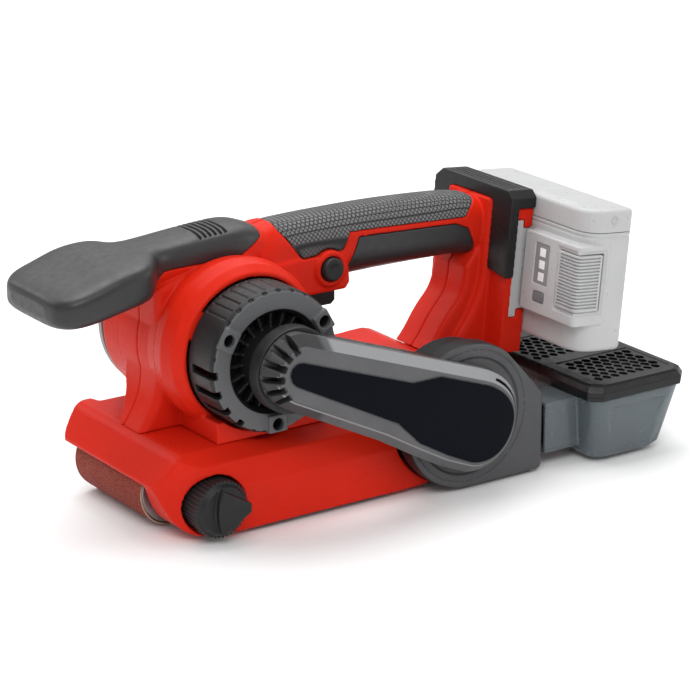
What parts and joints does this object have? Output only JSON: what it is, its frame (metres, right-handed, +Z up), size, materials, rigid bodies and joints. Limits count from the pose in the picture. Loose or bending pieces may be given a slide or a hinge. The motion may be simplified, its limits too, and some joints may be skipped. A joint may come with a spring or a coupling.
{
  "type": "handheld belt sander",
  "caption": "Cordless handheld belt sander with D handle, front palm rest, side belt drive cover, clip-on dust box and slide-on battery.",
  "frame": {"origin": "centre of the flat working face of the abrasive belt", "axes": "+X to the rear (battery end), -Y to the machine's left side (belt drive cover), +Z up"},
  "size_m": [0.3949, 0.1574, 0.1617],
  "materials": {
    "red_plastic": "satin orange-red moulded plastic",
    "soft_grip": "matt soft-touch",
    "textured_grip": "fine square grain",
    "dark_plastic": "fine spark-eroded grain",
    "grey_plastic": "matt grey",
    "pale_cap": "light grey",
    "inlay": "near-black plate with a dot texture",
    "steel": "turned and ground",
    "alloy": "cast or machined",
    "roller_rubber": "matt black",
    "abrasive": "aluminium oxide grit on cloth",
    "platen_graphite": "felted",
    "smoke_clear": "smoke-tinted translucent",
    "black_lid": "satin black",
    "pale_shell": "pale grey, slightly translucent",
    "cell": "sleeved cells",
    "board": "solder mask"
  },
  "bodies": {
    "root": {"base_frame": "red_plastic", "housing_left": "red_plastic", "housing_right": "red_plastic", "front_handle": "soft_grip", "top_grip": "textured_grip", "under_grip": "soft_grip", "dock_bumper": "dark_plastic", "terminal_block": "dark_plastic", "motor_end_cover": "grey_plastic", "motor_far_cap": "pale_cap", "cover_screw_1": "steel", "cover_screw_2": "steel", "cover_screw_3": "steel", "motor_stator": "steel", "shaft_bearing_near": "steel", "shaft_bearing_far": "steel", "drive_cover": "grey_plastic", "drive_cover_back": "dark_plastic", "drive_cover_inlay": "inlay", "fan_housing": "dark_plastic", "fan_cover": "grey_plastic", "layshaft_bearing": "steel", "drive_roller_bearing": "steel", "inner_frame": "alloy", "lever_pin": "steel", "platen_plate": "steel", "platen_pad": "platen_graphite", "sanding_belt": "abrasive", "toothed_belt": "roller_rubber", "tension_spring": "steel", "tracking_screw": "steel", "switch_module": "dark_plastic", "controller_board": "board"},
    "drive_roller_group": {"drive_roller": "steel", "drive_roller_sleeve": "roller_rubber", "roller_gear": "steel"},
    "layshaft_group": {"layshaft": "steel", "pinion": "steel", "layshaft_pulley": "alloy", "dust_fan": "dark_plastic"},
    "rotor_group": {"motor_shaft": "steel", "motor_rotor": "steel", "cooling_fan": "dark_plastic", "motor_pulley": "alloy"},
    "fork": {"roller_fork": "alloy", "front_axle": "steel"},
    "idler": {"front_roller": "alloy"},
    "lever": {"release_lever": "dark_plastic"},
    "knob": {"tracking_knob": "soft_grip"},
    "trigger_body": {"trigger": "dark_plastic"},
    "lock_button": {"lock_on_button": "dark_plastic"},
    "battery": {"battery_shell": "pale_shell", "battery_end_cap": "pale_shell", "battery_cells": "cell", "charge_light_panel": "pale_shell"},
    "battery_button": {"battery_release_button": "pale_shell"},
    "charge_button": {"charge_check_button": "pale_shell"},
    "dust_box_body": {"dust_box": "smoke_clear"},
    "lid": {"dust_box_lid": "black_lid", "dust_filter": "platen_graphite"}
  },
  "joints": [
    {"name": "drive_roller_spin", "type": "hinge", "parent": "root", "child": "drive_roller_group", "pos_m": [0.08283, 0, 0.021], "axis": [0, 1, 0], "continuous": true},
    {"name": "layshaft_spin", "type": "hinge", "parent": "root", "child": "layshaft_group", "pos_m": [0.0885, 0, 0.046], "axis": [0, 1, 0], "continuous": true},
    {"name": "motor_spin", "type": "hinge", "parent": "root", "child": "rotor_group", "pos_m": [-0.034, 0, 0.098], "axis": [0, 1, 0], "continuous": true},
    {"name": "lever_swing", "type": "hinge", "parent": "root", "child": "lever", "pos_m": [0.016, 0.0405, 0.021], "axis": [0, 0, 1], "range_deg": [0, 90]},
    {"name": "fork_slide", "type": "slide", "parent": "root", "child": "fork", "axis": [1, 0, 0], "range_m": [0, 0.006], "deforming": ["tension_spring"]},
    {"name": "front_roller_spin", "type": "hinge", "parent": "fork", "child": "idler", "pos_m": [-0.08283, 0, 0.021], "axis": [0, 1, 0], "continuous": true},
    {"name": "tracking_turn", "type": "hinge", "parent": "root", "child": "knob", "pos_m": [-0.075, -0.07, 0.0205], "axis": [0, 1, 0], "range_deg": [-90, 90]},
    {"name": "trigger_pull", "type": "slide", "parent": "root", "child": "trigger_body", "axis": [0, 0, 1], "range_m": [0, 0.006], "stiffness_N_per_m": 600, "springref_m": -0.004},
    {"name": "lock_press", "type": "slide", "parent": "root", "child": "lock_button", "axis": [0, 1, 0], "range_m": [0, 0.003], "stiffness_N_per_m": 600, "springref_m": -0.003},
    {"name": "battery_slide", "type": "slide", "parent": "root", "child": "battery", "axis": [0, -1, 0], "range_m": [0, 0.085]},
    {"name": "battery_button_press", "type": "slide", "parent": "battery", "child": "battery_button", "axis": [0.9954, 0, -0.0958], "range_m": [0, 0.002], "stiffness_N_per_m": 800, "springref_m": -0.002},
    {"name": "charge_button_press", "type": "slide", "parent": "battery", "child": "charge_button", "axis": [0.9954, 0, -0.0958], "range_m": [0, 0.0008], "stiffness_N_per_m": 600, "springref_m": -0.001},
    {"name": "dust_box_slide", "type": "slide", "parent": "root", "child": "dust_box_body", "axis": [1, 0, 0], "range_m": [0, 0.05]},
    {"name": "lid_lift", "type": "slide", "parent": "dust_box_body", "child": "lid", "axis": [0, 0, 1], "range_m": [0, 0.014]}
  ],
  "couplings": [
    {"joint": "layshaft_spin", "follows": "drive_roller_spin", "ratio": -2},
    {"joint": "motor_spin", "follows": "drive_roller_spin", "ratio": -4.8889},
    {"joint": "front_roller_spin", "follows": "drive_roller_spin", "ratio": 1},
    {"joint": "lever_swing", "follows": "fork_slide", "rad_per_m": 261.8}
  ]
}
